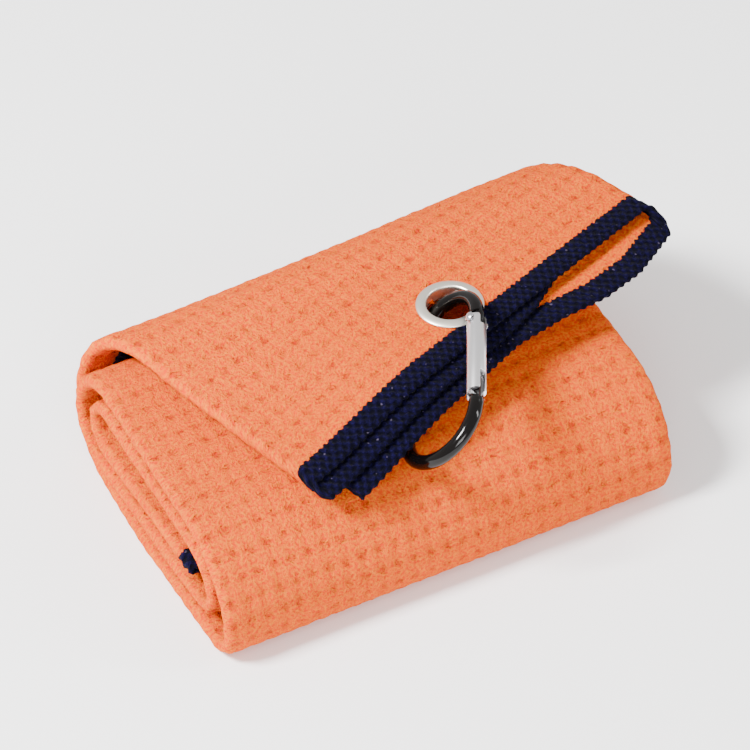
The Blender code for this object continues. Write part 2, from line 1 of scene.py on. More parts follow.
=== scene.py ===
"""Golf towel with an eyelet and a snap hook: the finished look of each piece.

X runs along the roll, -Y is its front and +Z is up, in metres.
"""

import math

import bmesh
import bpy
import numpy as np
from mathutils import Matrix, Vector


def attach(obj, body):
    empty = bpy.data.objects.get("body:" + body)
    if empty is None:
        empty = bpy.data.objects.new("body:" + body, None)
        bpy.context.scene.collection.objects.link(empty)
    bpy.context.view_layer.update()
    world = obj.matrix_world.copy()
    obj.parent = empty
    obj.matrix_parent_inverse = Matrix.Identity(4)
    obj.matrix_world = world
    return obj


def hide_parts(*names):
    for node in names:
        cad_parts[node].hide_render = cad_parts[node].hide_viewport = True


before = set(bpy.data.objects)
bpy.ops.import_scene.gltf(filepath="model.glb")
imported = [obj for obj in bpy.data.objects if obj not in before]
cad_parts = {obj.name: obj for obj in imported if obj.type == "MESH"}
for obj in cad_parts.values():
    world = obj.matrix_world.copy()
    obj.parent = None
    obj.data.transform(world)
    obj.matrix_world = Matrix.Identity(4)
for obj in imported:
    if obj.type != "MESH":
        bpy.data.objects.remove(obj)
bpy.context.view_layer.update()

# ------------------------------------------------------------------- towel cloth
# One rectangle of waffle-weave microfibre. It is folded in three along its length, with
# the middle third outermost, and the strip is rolled flat with its outer end lying skewed
# across the top, lifted at the middle by the hook that hangs from it.
TOWEL_WIDTH = 0.400
TOWEL_LENGTH = 0.576
PANEL_PITCH = 0.0022
FREE_EDGE_INSET = 0.008
STRIP_WIDTH = (TOWEL_WIDTH + 2 * FREE_EDGE_INSET + (3 - math.pi) * 1.5 * PANEL_PITCH) / 3
RIGHT_FOLD = PANEL_PITCH
LEFT_FOLD = PANEL_PITCH / 2
FOLD_RIGHT_AT = STRIP_WIDTH - RIGHT_FOLD - FREE_EDGE_INSET
OUTER_PANEL_AT = FOLD_RIGHT_AT + math.pi * RIGHT_FOLD
FOLD_LEFT_AT = OUTER_PANEL_AT + STRIP_WIDTH - RIGHT_FOLD - LEFT_FOLD
MIDDLE_PANEL_AT = FOLD_LEFT_AT + math.pi * LEFT_FOLD
RIGHT_W = STRIP_WIDTH / 2 - RIGHT_FOLD
LEFT_W = LEFT_FOLD - STRIP_WIDTH / 2

TOP_SLOPE = math.radians(5.6)
STACK_HALF = 0.0030
WRAP_PITCH = 0.0078
ROLL_DEPTH = 0.104
TURN_STEP = 0.0088
INNER_END_Y = -0.032
MIDDLE_STEPS = (-0.060, -0.020, 0.006, 0.018, 0.032, 0.060), (0.0055, 0.0050, 0.0040, 0.0025, -0.0020, -0.0030)
UNDER_STEPS = (-0.060, -0.020, 0.006, 0.022, 0.036, 0.050, 0.068), (0.0105, 0.0090, 0.0072, 0.0095, 0.0130, 0.0135, 0.0095)
BACK_LOW_RADII = (0.0180, 0.0105, 0.0056)
FRONT_LOW_RADII = (0.0075, 0.0050)


def ease(value, first, last):
    share = np.clip((value - first) / (last - first), 0.0, 1.0)
    return share * share * (3.0 - 2.0 * share)


def fold_section(across, off):
    """Place (w, n) in the folded strip of points across the towel, `off` out of its face."""
    right = (across - FOLD_RIGHT_AT) / RIGHT_FOLD
    left = (across - FOLD_LEFT_AT) / LEFT_FOLD
    zones = [across < FOLD_RIGHT_AT, across < OUTER_PANEL_AT, across < FOLD_LEFT_AT, across < MIDDLE_PANEL_AT]
    w = np.select(
        zones,
        [
            across - STRIP_WIDTH / 2 + FREE_EDGE_INSET,
            RIGHT_W + (RIGHT_FOLD + off) * np.sin(right),
            RIGHT_W - (across - OUTER_PANEL_AT),
            LEFT_W - (LEFT_FOLD + off) * np.sin(left),
        ],
        LEFT_W + across - MIDDLE_PANEL_AT,
    )
    n = np.select(
        zones,
        [
            -PANEL_PITCH - off,
            -(RIGHT_FOLD + off) * np.cos(right),
            PANEL_PITCH + off,
            PANEL_PITCH / 2 + (LEFT_FOLD + off) * np.cos(left),
        ],
        -off,
    )
    return w, n


def roll_section():
    """Table of the roll's middle line: length, y, z and the outward normal's y and z."""
    slope = math.tan(TOP_SLOPE)
    spread = math.hypot(1.0, slope)
    low = [STACK_HALF + i * WRAP_PITCH for i in range(3)]
    high = [low[2] + (1 + i * spread) * WRAP_PITCH - slope * INNER_END_Y for i in (2, 1, 0)]
    front = STACK_HALF + 0.0001 - ROLL_DEPTH / 2
    back = -front
    turns = [
        (1, back, low[0], high[0], BACK_LOW_RADII[0]),
        (-1, front, low[0], high[1], FRONT_LOW_RADII[0]),
        (1, back - TURN_STEP, low[1], high[1], BACK_LOW_RADII[1]),
        (-1, front + TURN_STEP + 0.0010, low[1], high[2], FRONT_LOW_RADII[1]),
        (1, back - 2 * TURN_STEP, low[2], high[2], BACK_LOW_RADII[2]),
    ]
    points = [(-ROLL_DEPTH, high[0] - slope * ROLL_DEPTH, -math.sin(TOP_SLOPE), math.cos(TOP_SLOPE))]
    for side, nose, floor, roof, radius in turns:
        centre = floor + radius
        upper = (roof + slope * nose - centre) / (spread + side * slope)
        top = math.pi / 2 + side * TOP_SLOPE
        arcs = [(upper, np.linspace(top, 0.0, 24)), (radius, np.linspace(0.0, -math.pi / 2, 24))]
        if side < 0:
            arcs = [(r, angles[::-1]) for r, angles in reversed(arcs)]
        for r, angles in arcs:
            for a in angles:
                ny, nz = side * math.cos(a), math.sin(a)
                points.append((nose - side * r + r * ny, centre + r * nz, ny, nz))
    points.append((INNER_END_Y - ROLL_DEPTH, low[2], 0.0, -1.0))
    table = np.array(points)
    steps = np.hypot(np.diff(table[:, 0]), np.diff(table[:, 1]))
    return np.column_stack([np.concatenate([[0.0], np.cumsum(steps)]), table])


SECTION = roll_section()
TURNING = 5 * math.pi + TOP_SLOPE
STRIP_LENGTH = TOWEL_LENGTH - PANEL_PITCH * TURNING
TRACK_S = np.arange(-0.03, STRIP_LENGTH + 0.03, 0.0005)
TRACK_TWIST = math.radians(19.0) * (1.0 - ease(TRACK_S, 0.016, 0.110))
TRACK_X = np.cumsum(np.sin(TRACK_TWIST)[::-1])[::-1] * 0.0005
TRACK_X += 0.0080 * (1.0 - ease(TRACK_S, 0.020, 0.150))
TRACK_ALONG = np.cumsum(np.cos(TRACK_TWIST)) * 0.0005
TRACK_ALONG += (-0.0160 + ROLL_DEPTH) / math.cos(TOP_SLOPE) - np.interp(0.0, TRACK_S, TRACK_ALONG)


def towel_place(across, along, off):
    """Places of points of the flat towel once it is folded and rolled."""
    w, n = fold_section(across, off)
    panel = fold_section(across, np.zeros_like(across))[1] / PANEL_PITCH
    middle_step = np.interp(w, *MIDDLE_STEPS) * (1.0 - panel)
    under_step = np.interp(w, *UNDER_STEPS) * (1.0 - panel) / 2
    out_step = np.where(across < OUTER_PANEL_AT, under_step, middle_step)
    s = along * STRIP_LENGTH / TOWEL_LENGTH
    s = s - out_step * (1.0 - ease(s, 0.0, 0.060))
    twist = np.interp(s, TRACK_S, TRACK_TWIST)
    x = np.interp(s, TRACK_S, TRACK_X) + w * np.cos(twist)
    section = np.interp(s, TRACK_S, TRACK_ALONG) + w * np.sin(twist)
    y, z, ny, nz = (np.interp(section, SECTION[:, 0], SECTION[:, k]) for k in (1, 2, 3, 4))
    size = np.hypot(ny, nz)
    rise = 0.0077 * np.maximum(0.0, 1.0 - s / 0.075)
    rise = rise * ease(w, -0.5 * STRIP_WIDTH, -0.15 * STRIP_WIDTH)
    bulge = 0.003 * ease(s, 0.020, 0.060) * (1.0 - ease(s, 0.060, 0.104))
    n = n + rise + bulge * ease(w, -0.15 * STRIP_WIDTH, 0.45 * STRIP_WIDTH)
    n = n + 0.00025 * np.sin(70.0 * x + 1.3) * np.sin(90.0 * section + 0.4) * (s > 0.0)
    height = np.maximum(z + n * nz / size, 0.0)
    return np.column_stack([x, y + n * ny / size, height])


def wrap_grid(name, columns, rows, place, sections=1.0):
    """Two-sided sheet with a vertex at each column and row, closed at its rim."""
    form = bmesh.new()
    bmesh.ops.create_grid(form, x_segments=len(columns) - 1, y_segments=len(rows) - 1, size=1.0)
    shell = bmesh.ops.extrude_face_region(form, geom=form.faces[:], use_keep_orig=True)
    far_side = [item for item in shell["geom"] if isinstance(item, bmesh.types.BMVert)]
    bmesh.ops.translate(form, verts=far_side, vec=(0.0, 0.0, 1.0))
    mesh = bpy.data.meshes.new(name)
    form.to_mesh(mesh)
    form.free()
    flat = np.empty(len(mesh.vertices) * 3)
    mesh.vertices.foreach_get("co", flat)
    flat = flat.reshape(-1, 3)
    i = np.rint((flat[:, 0] + 1.0) / 2.0 * (len(columns) - 1)).astype(int)
    j = np.rint((flat[:, 1] + 1.0) / 2.0 * (len(rows) - 1)).astype(int)
    across = np.asarray(columns)[i]
    along = np.asarray(rows)[j]
    side = np.where(flat[:, 2] > 0.5, 1.0, -1.0)
    mesh.vertices.foreach_set("co", place(across, along, side).ravel())
    corners = np.empty(len(mesh.loops), dtype=np.int32)
    mesh.loops.foreach_get("vertex_index", corners)
    layer = mesh.uv_layers.new(name="weave")
    layer.uv.foreach_set("vector", np.column_stack([across, along])[corners].ravel())
    form = bmesh.new()
    form.from_mesh(mesh)
    bmesh.ops.recalc_face_normals(form, faces=form.faces)
    form.to_mesh(mesh)
    form.free()
    mesh.shade_smooth()
    return mesh


CELL_ACROSS = 0.0050
CELL_ALONG = 0.00625
HALF_CLOTH = 0.00082


def waffle_relief(across, along):
    """Height of the weave: small pits between soft ridges."""
    u = across / CELL_ACROSS
    v = along / CELL_ALONG
    du = (u - np.rint(u)) * CELL_ACROSS
    dv = (v - np.rint(v)) * CELL_ALONG
    wander = np.sin(np.rint(u) * 12.9898 + np.rint(v) * 78.233) * 43758.5453
    wander = wander - np.floor(wander)
    pit = np.exp(-((du / 0.00120) ** 2) - (dv / 0.00150) ** 2)
    ridge = 0.00009 * (np.cos(2 * math.pi * u) + np.cos(2 * math.pi * v))
    grain = np.sin(across * 91700.0 + along * 54300.0) * 43758.5453
    grain = grain - np.floor(grain) - 0.5
    return 0.00016 * grain - ridge - (0.00034 + 0.00030 * wander) * pit


def cloth_place(across, along, side):
    edge = np.minimum.reduce([across, TOWEL_WIDTH - across, along, TOWEL_LENGTH - along])
    full = ease(edge, 0.0058, 0.0098)
    half = 0.00035 + full * (HALF_CLOTH - 0.00035 + 0.00016 + waffle_relief(across, along))
    return towel_place(across, along, side * half)


def spaced(first, last, step):
    return list(np.linspace(first, last, max(2, round((last - first) / step)) + 1))[:-1]


EDGE = 0.0042
quarter = CELL_ACROSS / 4
cloth_columns = spaced(EDGE, FOLD_RIGHT_AT - 0.012, 0.0050) + spaced(FOLD_RIGHT_AT - 0.012, FOLD_RIGHT_AT, 0.0016)
cloth_columns += spaced(FOLD_RIGHT_AT, OUTER_PANEL_AT, 0.0008)
first = math.ceil(OUTER_PANEL_AT / quarter) * quarter
cloth_columns += list(np.arange(first, FOLD_LEFT_AT - 0.0002, quarter))
cloth_columns += spaced(FOLD_LEFT_AT, MIDDLE_PANEL_AT, 0.0006)
cloth_columns += spaced(MIDDLE_PANEL_AT, MIDDLE_PANEL_AT + 0.012, 0.0016)
cloth_columns += spaced(MIDDLE_PANEL_AT + 0.012, TOWEL_WIDTH - EDGE, 0.0050) + [TOWEL_WIDTH - EDGE]
quarter = CELL_ALONG / 4
cloth_rows = [EDGE, 0.0060]
cloth_rows += list(np.arange(5 * quarter, 0.118, quarter)) + spaced(0.118, 0.212, 2 * quarter)
first = math.ceil(0.212 / quarter) * quarter
cloth_rows += list(np.arange(first, 0.336, quarter)) + spaced(0.336, TOWEL_LENGTH - EDGE, 0.0055) + [TOWEL_LENGTH - EDGE]
towel = bpy.data.objects.new("towel_waffle_cloth", wrap_grid("towel_waffle_cloth", cloth_columns, cloth_rows, cloth_place))
bpy.context.scene.collection.objects.link(towel)


def eyelet_axes():
    """The eyelet's own axes, with Z out of the outer panel and its mid-plane at 0."""
    across = np.array([OUTER_PANEL_AT + RIGHT_W - 0.0004] * 3) - (0.0, 0.001, 0.0)
    along = np.array([0.0150] * 3) + (0.0, 0.0, 0.001)
    centre, sideways, inward = (Vector(p) for p in towel_place(across, along, np.zeros(3)))
    sideways = (sideways - centre).normalized()
    axis = sideways.cross(inward - centre).normalized()
    turn = Matrix((sideways, axis.cross(sideways), axis)).transposed()
    return Matrix.Translation(centre) @ turn.to_4x4()


EYELET = eyelet_axes()


def punch_cloth(radius, low, high):
    """Cut a round hole through the panels at the eyelet."""
    form = bmesh.new()
    bmesh.ops.create_cone(form, cap_ends=True, segments=64, radius1=radius, radius2=radius, depth=high - low)
    bmesh.ops.translate(form, verts=form.verts, vec=(0.0, 0.0, (high + low) / 2))
    bmesh.ops.transform(form, verts=form.verts, matrix=EYELET)
    mesh = bpy.data.meshes.new("punch")
    form.to_mesh(mesh)
    form.free()
    punch = bpy.data.objects.new("punch", mesh)
    bpy.context.scene.collection.objects.link(punch)
    cut = towel.modifiers.new("punch", "BOOLEAN")
    cut.operation = "DIFFERENCE"
    cut.solver = "EXACT"
    cut.object = punch
    bpy.context.view_layer.update()
    result = bpy.data.meshes.new_from_object(towel.evaluated_get(bpy.context.evaluated_depsgraph_get()))
    towel.modifiers.clear()
    towel.data = result
    bpy.data.objects.remove(punch)


punch_cloth(0.0074, -0.0011, 0.0030)
punch_cloth(0.0116, -0.0060, -0.0011)
towel.data.name = "towel_waffle_cloth"


def new_material(name):
    """A material with its Principled shader and its node tree."""
    result = bpy.data.materials.new(name)
    result.use_nodes = True
    return result, result.node_tree, result.node_tree.nodes["Principled BSDF"]


def add_node(tree, kind, **settings):
    item = tree.nodes.new(kind)
    for key, value in settings.items():
        setattr(item, key, value)
    return item


def calculate(tree, operation, *values):
    """A Math node fed with sockets or numbers; returns its output."""
    item = add_node(tree, "ShaderNodeMath", operation=operation)
    for socket, value in zip(item.inputs, values):
        if isinstance(value, bpy.types.NodeSocket):
            tree.links.new(value, socket)
        else:
            socket.default_value = value
    return item.outputs[0]


def noise(tree, vector, scale, detail=2.0, roughness=0.5):
    item = add_node(tree, "ShaderNodeTexNoise")
    item.inputs["Scale"].default_value = scale
    item.inputs["Detail"].default_value = detail
    item.inputs["Roughness"].default_value = roughness
    tree.links.new(vector, item.inputs["Vector"])
    return item.outputs


def mix_colour(tree, share, first, second):
    """Blend two colours, each a socket or an (r, g, b)."""
    item = add_node(tree, "ShaderNodeMix", data_type="RGBA")
    tree.links.new(share, item.inputs["Factor"])
    for socket, value in zip((item.inputs[6], item.inputs[7]), (first, second)):
        if isinstance(value, bpy.types.NodeSocket):
            tree.links.new(value, socket)
        else:
            socket.default_value = (*value, 1.0)
    return item.outputs[2]


def bump(tree, height, distance, strength, normal=None):
    item = add_node(tree, "ShaderNodeBump")
    item.inputs["Strength"].default_value = strength
    item.inputs["Distance"].default_value = distance
    tree.links.new(height, item.inputs["Height"])
    if normal:
        tree.links.new(normal, item.inputs["Normal"])
    return item.outputs["Normal"]


def clamped(tree, value):
    return calculate(tree, "MINIMUM", calculate(tree, "MAXIMUM", value, 0.0), 1.0)


def cloth_material():
    material, tree, shader = new_material("waffle_microfibre")
    weave = add_node(tree, "ShaderNodeUVMap", uv_map="weave").outputs[0]
    wobble = noise(tree, weave, 480.0, 3.0, 0.6)[1]
    shift = add_node(tree, "ShaderNodeVectorMath", operation="MULTIPLY_ADD")
    tree.links.new(wobble, shift.inputs[0])
    shift.inputs[1].default_value = (0.0040, 0.0040, 0.0)
    tree.links.new(weave, shift.inputs[2])
    parts = add_node(tree, "ShaderNodeSeparateXYZ")
    tree.links.new(shift.outputs[0], parts.inputs[0])
    squares = []
    for socket, pitch, reach in ((0, CELL_ACROSS, 0.20), (1, CELL_ALONG, 0.13)):
        cells = calculate(tree, "MULTIPLY_ADD", parts.outputs[socket], 1 / pitch, 0.5 - 0.0020 / pitch)
        centred = calculate(tree, "SUBTRACT", calculate(tree, "FRACT", cells), 0.5)
        scaled = calculate(tree, "DIVIDE", centred, reach)
        squares.append(calculate(tree, "MULTIPLY", scaled, scaled))
    away = calculate(tree, "ADD", *squares)
    pit = calculate(tree, "DIVIDE", 1.0, calculate(tree, "ADD", calculate(tree, "MULTIPLY", away, away), 1.0))
    fibre = noise(tree, weave, 2300.0, 4.0, 0.7)[0]
    tuft = noise(tree, weave, 1150.0, 3.0, 0.65)[0]
    clump = noise(tree, weave, 430.0, 2.0)[0]
    patch = noise(tree, weave, 260.0, 2.0)[0]
    # The raised tufts, driven by the same noise that lifts them in the bump, are painted pale peach: a painted
    # highlight on the fibre tops.
    tuft_highlight = clamped(tree, calculate(tree, "MULTIPLY_ADD", tuft, 5.0, -1.95))
    base = mix_colour(tree, tuft_highlight, (0.90, 0.046, 0.0), (1.0, 0.215, 0.008))
    warm = clamped(tree, calculate(tree, "MULTIPLY_ADD", clump, 2.4, -0.95))
    base = mix_colour(tree, calculate(tree, "MULTIPLY", warm, 0.5), base, (1.0, 0.110, 0.001))
    # The pits are painted deep dark red, broken up in patches: painted shade in the weave's hollows, added on top of
    # the shading from the bump.
    broken = clamped(tree, calculate(tree, "MULTIPLY_ADD", patch, 3.6, -1.35))
    pit_shade = calculate(tree, "MULTIPLY", calculate(tree, "MULTIPLY", pit, broken), 0.70)
    base = mix_colour(tree, pit_shade, base, (0.58, 0.012, 0.0005))
    tree.links.new(base, shader.inputs["Base Color"])
    shader.inputs["Roughness"].default_value = 0.95
    shader.inputs["Sheen Weight"].default_value = 0.02
    shader.inputs["Sheen Roughness"].default_value = 0.6
    shader.inputs["Sheen Tint"].default_value = (1.0, 0.55, 0.35, 1.0)
    shader.inputs["Specular IOR Level"].default_value = 0.05
    height = calculate(tree, "MULTIPLY_ADD", pit, -0.45, calculate(tree, "MULTIPLY", clump, 0.55))
    normal = bump(tree, height, 0.0018, 0.9)
    height = calculate(tree, "MULTIPLY_ADD", tuft, 1.0, calculate(tree, "MULTIPLY", fibre, 0.5))
    normal = bump(tree, height, 0.0016, 1.0, normal)
    tree.links.new(normal, shader.inputs["Normal"])
    return material


towel.data.materials.clear()
towel.data.materials.append(cloth_material())
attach(towel, "towel")
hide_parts("towel_cloth")

# ---------------------------------------------------------------------- bindings
# Navy overlock stitching round all four edges. Loops of thread wrap the raw edge: they
# scallop its outer side and end in small teeth on the cloth.
BAND_WIDTH = 0.0071
BAND_HALF = 0.00105
BAND_SECTION = 16


def band_section():
    """Section of the band, as (in from the edge, off the cloth, is it a tooth)."""
    upper = [(BAND_WIDTH, 0.35 * BAND_HALF), (BAND_WIDTH - 0.0004, 0.85 * BAND_HALF)]
    upper += [(x, BAND_HALF) for x in (0.0054, 0.0042, 0.0030, 0.0018)]
    upper += [(0.0008, 0.92 * BAND_HALF), (0.0001, 0.55 * BAND_HALF)]
    return np.array(upper + [(x, -off) for x, off in reversed(upper)])


def band_mesh(name, length, step, place, seed):
    """Closed band along an edge; `place` takes (along the edge, in from it, off the cloth)."""
    section = band_section()
    count = max(2, round(length / step))
    form = bmesh.new()
    bmesh.ops.create_grid(form, x_segments=BAND_SECTION, y_segments=count, size=1.0)
    mesh = bpy.data.meshes.new(name)
    form.to_mesh(mesh)
    form.free()
    flat = np.empty(len(mesh.vertices) * 3)
    mesh.vertices.foreach_get("co", flat)
    flat = flat.reshape(-1, 3)
    i = np.rint((flat[:, 0] + 1.0) / 2.0 * BAND_SECTION).astype(int)
    run = (flat[:, 1] + 1.0) / 2.0 * length
    inward, off = section[i % BAND_SECTION].T
    chance = np.random.default_rng(seed)
    uneven = chance.uniform(-1.0, 1.0, (BAND_SECTION, count + 1))
    uneven = uneven[i % BAND_SECTION, np.rint((flat[:, 1] + 1.0) / 2.0 * count).astype(int)]
    scallop = 0.5 + 0.5 * np.cos(2 * math.pi * run / 0.0028)
    inward = inward - 0.00055 * scallop * (1.0 - ease(inward, 0.0, 0.0016))
    tooth = 0.5 + 0.5 * np.cos(2 * math.pi * run / 0.0019)
    inward = inward + 0.0008 * tooth * ease(inward, 0.0060, 0.0071)
    sway = 0.0006 * np.sin(2 * math.pi * run / 0.0131) + 0.0004 * np.sin(2 * math.pi * run / 0.0373)
    knot = np.cos(2 * math.pi * (run + sway) / 0.0028) * np.cos(2 * math.pi * inward / 0.0034)
    off = off * (0.92 + 0.30 * knot + 0.14 * uneven)
    mesh.vertices.foreach_set("co", place(run, inward, off).ravel())
    corners = np.empty(len(mesh.loops), dtype=np.int32)
    mesh.loops.foreach_get("vertex_index", corners)
    layer = mesh.uv_layers.new(name="thread")
    layer.uv.foreach_set("vector", np.column_stack([run, i * 0.00105])[corners].ravel())
    form = bmesh.new()
    form.from_mesh(mesh)
    bmesh.ops.remove_doubles(form, verts=form.verts, dist=0.0000001)
    bmesh.ops.holes_fill(form, edges=[e for e in form.edges if e.is_boundary], sides=0)
    bmesh.ops.recalc_face_normals(form, faces=form.faces)
    form.to_mesh(mesh)
    form.free()
    mesh.shade_smooth()
    return mesh


def thread_material():
    material, tree, shader = new_material("navy_overlock_thread")
    run = add_node(tree, "ShaderNodeUVMap", uv_map="thread").outputs[0]
    strand = noise(tree, run, 1700.0, 3.0, 0.65)[0]
    bend = noise(tree, run, 380.0, 2.0)[0]
    fleck = noise(tree, run, 900.0, 0.0)[0]
    parts = add_node(tree, "ShaderNodeSeparateXYZ")
    tree.links.new(run, parts.inputs[0])
    waves = []
    for socket, pitch in ((0, 0.0028), (1, 0.0034)):
        phase = calculate(tree, "MULTIPLY_ADD", parts.outputs[socket], 2 * math.pi / pitch, calculate(tree, "MULTIPLY", bend, 3.0))
        waves.append(calculate(tree, "SINE", phase))
    loops = calculate(tree, "MULTIPLY", *waves)
    # The raised thread loops are painted a lighter navy and the hollows between them near-black: painted highlight and
    # painted shade, lit and shaded copies of one navy.
    loop_highlight = clamped(tree, calculate(tree, "MULTIPLY_ADD", loops, 0.7, 0.45))
    lit = clamped(tree, calculate(tree, "MULTIPLY_ADD", strand, 2.2, -0.75))
    base = mix_colour(tree, calculate(tree, "MULTIPLY", lit, loop_highlight), (0.0002, 0.0001, 0.0030), (0.0075, 0.0040, 0.050))
    specks = calculate(tree, "GREATER_THAN", fleck, 0.80)
    base = mix_colour(tree, calculate(tree, "MULTIPLY", specks, 0.30), base, (0.16, 0.13, 0.20))
    tree.links.new(base, shader.inputs["Base Color"])
    shader.inputs["Roughness"].default_value = 0.85
    shader.inputs["Sheen Weight"].default_value = 0.01
    shader.inputs["Specular IOR Level"].default_value = 0.05
    height = calculate(tree, "MULTIPLY_ADD", loops, 0.55, calculate(tree, "MULTIPLY", strand, 0.8))
    tree.links.new(bump(tree, height, 0.0010, 0.9), shader.inputs["Normal"])
    return material


thread = thread_material()
whole_width = TOWEL_WIDTH
whole_length = TOWEL_LENGTH
BANDS = [
    ("binding_outer_end", whole_width, 0.00047, lambda run, inward, off: towel_place(run, inward, off)),
    ("binding_inner_end", whole_width, 0.0007, lambda run, inward, off: towel_place(run, whole_length - inward, off)),
    (
        "binding_under_panel", whole_length - 0.0144, 0.0009,
        lambda run, inward, off: towel_place(inward, run + 0.0072, off),
    ),
    (
        "binding_middle_panel", whole_length - 0.0144, 0.0009,
        lambda run, inward, off: towel_place(whole_width - inward, run + 0.0072, off),
    ),
]
for seed, (node, length, step, place) in enumerate(BANDS):
    band = bpy.data.objects.new("stitched_" + node, band_mesh("stitched_" + node, length, step, place, seed))
    bpy.context.scene.collection.objects.link(band)
    band.data.materials.append(thread)
    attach(band, "towel")
    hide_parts(node)

# ------------------------------------------------------------------------ eyelet
# Two nickel-plated pressings: a barrel whose rim rolls out into the front flange, and a
# washer that the barrel's tail is curled over behind the cloth.
FLANGE_RADIUS = 0.0096
HOLE_RADIUS = 0.0066


def spun(name, profile, matrix, steps=72, closed=True):
    """Turned shape from a profile of (radius, z)."""
    form = bmesh.new()
    corners = [form.verts.new((radius, 0.0, z)) for radius, z in profile]
    edges = [form.edges.new(pair) for pair in zip(corners, corners[1:])]
    if closed:
        edges.append(form.edges.new((corners[-1], corners[0])))
    bmesh.ops.spin(
        form, geom=corners + edges, cent=(0.0, 0.0, 0.0), axis=(0.0, 0.0, 1.0), angle=2 * math.pi,
        steps=steps, use_merge=True,
    )
    bmesh.ops.remove_doubles(form, verts=form.verts, dist=0.0000005)
    bmesh.ops.recalc_face_normals(form, faces=form.faces)
    bmesh.ops.transform(form, verts=form.verts, matrix=matrix)
    mesh = bpy.data.meshes.new(name)
    form.to_mesh(mesh)
    form.free()
    mesh.shade_smooth()
    item = bpy.data.objects.new(name, mesh)
    bpy.context.scene.collection.objects.link(item)
    return item


def rolled_lip():
    """Front flange and barrel, with the rolled rim as an arc of points."""
    under = 0.00098
    turn = np.linspace(0.0, math.pi / 2, 9)
    points = [(HOLE_RADIUS + 0.0007 * (1 - math.cos(a)), under + 0.0002 + 0.0008 * math.sin(a)) for a in turn]
    points += [(HOLE_RADIUS + 0.0014, under + 0.00100), (FLANGE_RADIUS - 0.0007, under + 0.00078)]
    points += [(FLANGE_RADIUS - 0.0004 * (1 - math.sin(a)), under + 0.0001 + 0.0005 * math.cos(a)) for a in turn[2:]]
    points += [(FLANGE_RADIUS - 0.0001, under), (HOLE_RADIUS + 0.0008, under)]
    points += [(HOLE_RADIUS + 0.0008, -0.0021), (0.0081, -0.0021), (0.0081, -0.0024), (0.0072, -0.0026)]
    points += [(HOLE_RADIUS + 0.0004, -0.0026), (HOLE_RADIUS + 0.0001, -0.0023)]
    return points


def finish_group():
    """Shared finish: cloudiness in the colour and roughness, and fine scratches."""
    group = bpy.data.node_groups.new("fine_finish", "ShaderNodeTree")
    for label, kind in (("Clear Color", "NodeSocketColor"), ("Cloudy Color", "NodeSocketColor"), ("Roughness", "NodeSocketFloat"), ("Scratches", "NodeSocketFloat")):
        group.interface.new_socket(label, in_out="INPUT", socket_type=kind)
    for label, kind in (("Base Color", "NodeSocketColor"), ("Roughness", "NodeSocketFloat"), ("Normal", "NodeSocketVector")):
        group.interface.new_socket(label, in_out="OUTPUT", socket_type=kind)
    given = add_node(group, "NodeGroupInput").outputs
    result = add_node(group, "NodeGroupOutput").inputs
    place = add_node(group, "ShaderNodeTexCoord").outputs["Object"]
    cloud = noise(group, place, 190.0, 3.0)[0]
    scratch = noise(group, place, 2600.0, 4.0, 0.7)[0]
    group.links.new(mix_colour(group, cloud, given["Clear Color"], given["Cloudy Color"]), result["Base Color"])
    group.links.new(calculate(group, "MULTIPLY_ADD", cloud, 0.06, given["Roughness"]), result["Roughness"])
    height = calculate(group, "MULTIPLY", scratch, given["Scratches"])
    group.links.new(bump(group, height, 0.00003, 0.25), result["Normal"])
    return group


FINE_FINISH = finish_group()


def finished(name, clear, cloudy, roughness, scratches):
    """Material for a hard piece, made with the shared finish."""
    material, tree, shader = new_material(name)
    finish = add_node(tree, "ShaderNodeGroup", node_tree=FINE_FINISH)
    finish.inputs["Clear Color"].default_value = (*clear, 1.0)
    finish.inputs["Cloudy Color"].default_value = (*cloudy, 1.0)
    finish.inputs["Roughness"].default_value = roughness
    finish.inputs["Scratches"].default_value = scratches
    for label in ("Base Color", "Roughness", "Normal"):
        tree.links.new(finish.outputs[label], shader.inputs[label])
    return material, shader


def plated(name, clear, cloudy, roughness):
    material, shader = finished(name, clear, cloudy, roughness, 1.0)
    shader.inputs["Metallic"].default_value = 1.0
    return material


eyelet = spun("rolled_eyelet", rolled_lip(), EYELET)
washer = spun(
    "crimped_washer",
    [(0.0072, -0.00115), (0.0094, -0.00115), (0.0095, -0.0013), (0.0094, -0.0017), (0.0072, -0.0017)],
    EYELET,
)
nickel = plated("nickel_plate", (0.95, 0.90, 0.80), (0.86, 0.80, 0.70), 0.34)
for piece, node in ((eyelet, "eyelet"), (washer, "eyelet_washer")):
    piece.data.materials.append(nickel)
    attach(piece, "towel")
    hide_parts(node)

# --------------------------------------------------------------------- snap hook
# A loop bent from aluminium rod and finished gloss black, flattened at one end into the
# tongue that the gate turns on and at the other into the nose that it shuts on.


